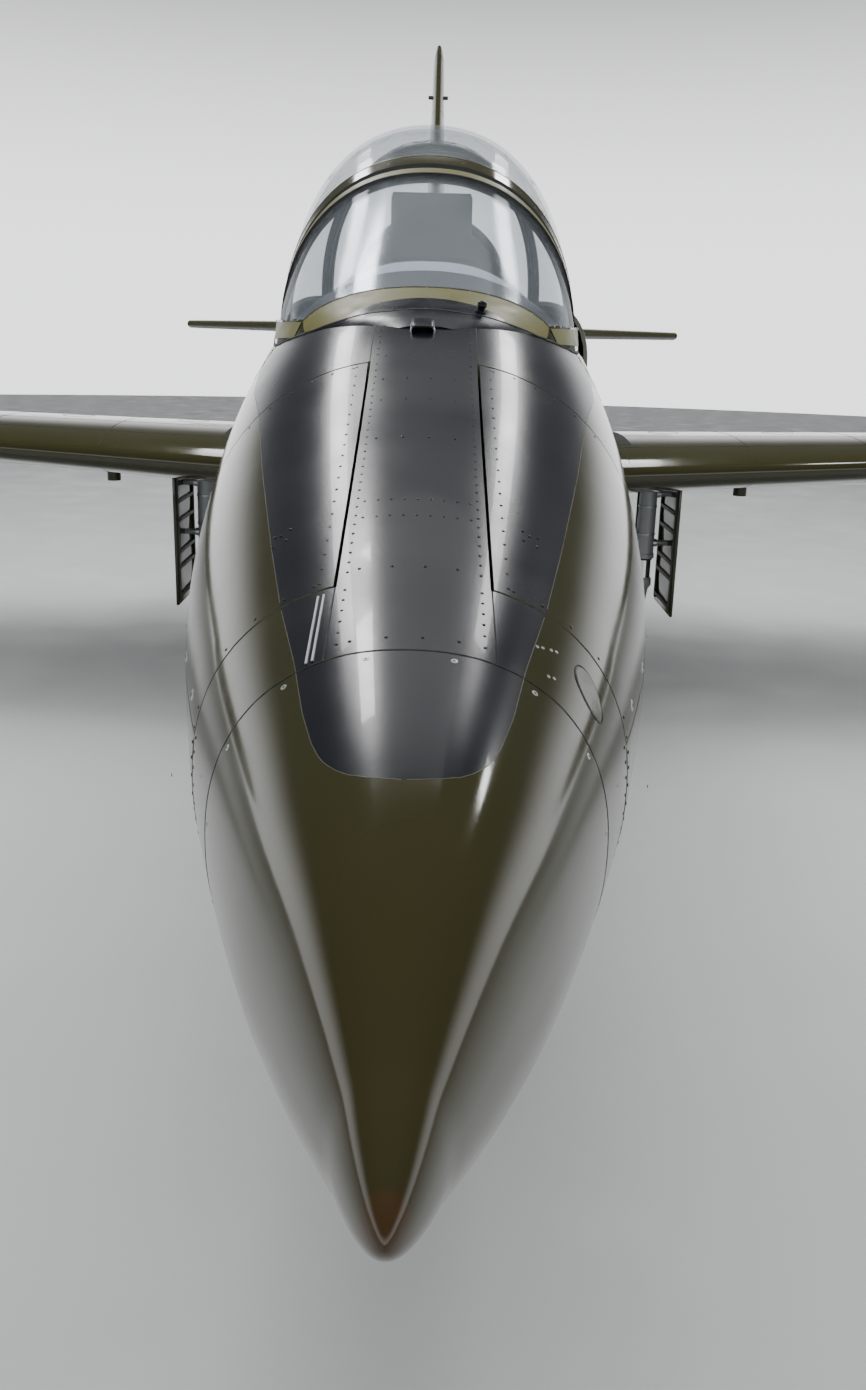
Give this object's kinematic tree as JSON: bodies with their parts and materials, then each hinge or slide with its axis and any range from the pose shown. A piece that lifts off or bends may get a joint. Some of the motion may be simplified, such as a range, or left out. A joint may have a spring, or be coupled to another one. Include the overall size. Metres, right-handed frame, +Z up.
{
  "type": "two-seat jet trainer aircraft",
  "caption": "Low-wing tandem two-seat jet trainer parked on its wheels, with tip tanks, side intakes, side-hinged canopies, nose bay doors and moving control surfaces.",
  "frame": {"origin": "on the ground at the middle of the length, under the centreline", "axes": "+X to port (the pilots' left), +Y aft along the body with the nose at -Y, +Z up"},
  "size_m": [9.46, 12.1223, 4.745],
  "materials": {
    "olive_gloss": "high-gloss olive drab paint",
    "clear_glass": "clear polished acrylic",
    "cockpit_grey": "matt grey-blue cockpit paint",
    "dark_trim": "matt black",
    "seat_fabric": "woven olive fabric",
    "hot_steel": "heat-tinted steel",
    "gear_metal": "light grey gloss",
    "tyre_rubber": "black rubber",
    "wheel_hub": "grey-green enamel"
  },
  "bodies": {
    "airframe": {"nose_cone": "olive_gloss", "nose_section": "olive_gloss", "cockpit_section": "olive_gloss", "rear_fuselage": "olive_gloss", "fin": "olive_gloss", "tailplane": "olive_gloss", "windscreen_frame": "olive_gloss", "mid_arch": "olive_gloss", "wing_left": "olive_gloss", "tip_tank_left": "olive_gloss", "intake_left": "olive_gloss", "nose_gear_door_left": "olive_gloss", "main_gear_door_left": "olive_gloss", "wing_right": "olive_gloss", "tip_tank_right": "olive_gloss", "intake_right": "olive_gloss", "nose_gear_door_right": "olive_gloss", "main_gear_door_right": "olive_gloss", "windscreen_glass": "clear_glass", "cockpit_floor": "cockpit_grey", "front_seat": "dark_trim", "rear_seat": "dark_trim", "front_panel": "dark_trim", "rear_panel": "dark_trim", "front_stick": "dark_trim", "rear_stick": "dark_trim", "equipment_left": "dark_trim", "equipment_right": "dark_trim", "front_seat_cushion": "seat_fabric", "rear_seat_cushion": "seat_fabric", "engine": "hot_steel", "tailpipe": "hot_steel", "nose_leg": "gear_metal", "main_leg_left": "gear_metal", "main_leg_right": "gear_metal"},
    "nose_steering": {"nose_fork": "gear_metal"},
    "nose_wheel": {"nose_wheel": "wheel_hub", "nose_tyre": "tyre_rubber"},
    "main_wheel_left": {"main_left_wheel": "wheel_hub", "main_left_tyre": "tyre_rubber"},
    "main_wheel_right": {"main_right_wheel": "wheel_hub", "main_right_tyre": "tyre_rubber"},
    "front_canopy": {"front_canopy_frame": "olive_gloss", "front_canopy_glass": "clear_glass"},
    "rear_canopy": {"rear_canopy_frame": "olive_gloss", "rear_canopy_glass": "clear_glass"},
    "elevator": {"elevator_left": "olive_gloss", "elevator_right": "olive_gloss"},
    "rudder": {"rudder": "olive_gloss"},
    "bay_door_left": {"bay_door_left": "olive_gloss"},
    "bay_door_right": {"bay_door_right": "olive_gloss"},
    "flap_left": {"flap_left": "olive_gloss"},
    "flap_right": {"flap_right": "olive_gloss"},
    "aileron_left": {"aileron_left": "olive_gloss"},
    "aileron_right": {"aileron_right": "olive_gloss"},
    "air_brake_left": {"air_brake_left": "olive_gloss"},
    "air_brake_right": {"air_brake_right": "olive_gloss"}
  },
  "joints": [
    {"name": "nose_steering", "type": "hinge", "parent": "airframe", "child": "nose_steering", "pos_m": [0, -3.865, 0.5], "axis": [0, 0, 1], "range_deg": [-30, 30]},
    {"name": "nose_wheel", "type": "hinge", "parent": "nose_steering", "child": "nose_wheel", "pos_m": [0, -3.795, 0.215], "axis": [1, 0, 0], "continuous": true},
    {"name": "main_wheel_left", "type": "hinge", "parent": "airframe", "child": "main_wheel_left", "pos_m": [1.275, 0.535, 0.305], "axis": [1, 0, 0], "continuous": true},
    {"name": "main_wheel_right", "type": "hinge", "parent": "airframe", "child": "main_wheel_right", "pos_m": [-1.275, 0.535, 0.305], "axis": [1, 0, 0], "continuous": true},
    {"name": "front_canopy", "type": "hinge", "parent": "airframe", "child": "front_canopy", "pos_m": [-0.485, -2.405, 2.003], "axis": [0, -1, 0], "range_deg": [0, 70]},
    {"name": "rear_canopy", "type": "hinge", "parent": "airframe", "child": "rear_canopy", "pos_m": [-0.485, -0.795, 2.003], "axis": [0, -1, 0], "range_deg": [0, 70]},
    {"name": "bay_door_left", "type": "hinge", "parent": "airframe", "child": "bay_door_left", "pos_m": [0.126, -5.105, 1.6572], "axis": [0, -0.9407, -0.3392], "range_deg": [0, 70]},
    {"name": "bay_door_right", "type": "hinge", "parent": "airframe", "child": "bay_door_right", "pos_m": [-0.126, -5.105, 1.6572], "axis": [0, 0.9407, 0.3392], "range_deg": [0, 70]},
    {"name": "rudder", "type": "hinge", "parent": "airframe", "child": "rudder", "pos_m": [0, 5.27017, 2.48], "axis": [0, 0.0888, 0.996], "range_deg": [-28, 28]},
    {"name": "elevator", "type": "hinge", "parent": "airframe", "child": "elevator", "pos_m": [0, 4.8638, 2.14], "axis": [1, 0, 0], "range_deg": [-20, 30]},
    {"name": "aileron_left", "type": "hinge", "parent": "airframe", "child": "aileron_left", "pos_m": [2.4, 0.697, 1.4122], "axis": [0.9866, -0.1555, 0.0485], "range_deg": [-16, 16]},
    {"name": "aileron_right", "type": "hinge", "parent": "airframe", "child": "aileron_right", "pos_m": [-2.4, 0.697, 1.4122], "axis": [-0.9866, -0.1555, 0.0485], "range_deg": [-16, 16]},
    {"name": "flap_left", "type": "hinge", "parent": "airframe", "child": "flap_left", "pos_m": [0.65, 0.9728, 1.3262], "axis": [-0.9866, 0.1555, -0.0485], "range_deg": [0, 44]},
    {"name": "flap_right", "type": "hinge", "parent": "airframe", "child": "flap_right", "pos_m": [-0.65, 0.9728, 1.3262], "axis": [-0.9866, -0.1555, 0.0485], "range_deg": [0, 44]},
    {"name": "air_brake_left", "type": "hinge", "parent": "airframe", "child": "air_brake_left", "pos_m": [0.2, 0.235, 0.953], "axis": [-1, 0, 0], "range_deg": [0, 55]},
    {"name": "air_brake_right", "type": "hinge", "parent": "airframe", "child": "air_brake_right", "pos_m": [-0.2, 0.235, 0.953], "axis": [-1, 0, 0], "range_deg": [0, 55]}
  ],
  "couplings": [
    {"joint": "aileron_right", "follows": "aileron_left", "ratio": 1},
    {"joint": "flap_right", "follows": "flap_left", "ratio": 1},
    {"joint": "air_brake_right", "follows": "air_brake_left", "ratio": 1}
  ]
}
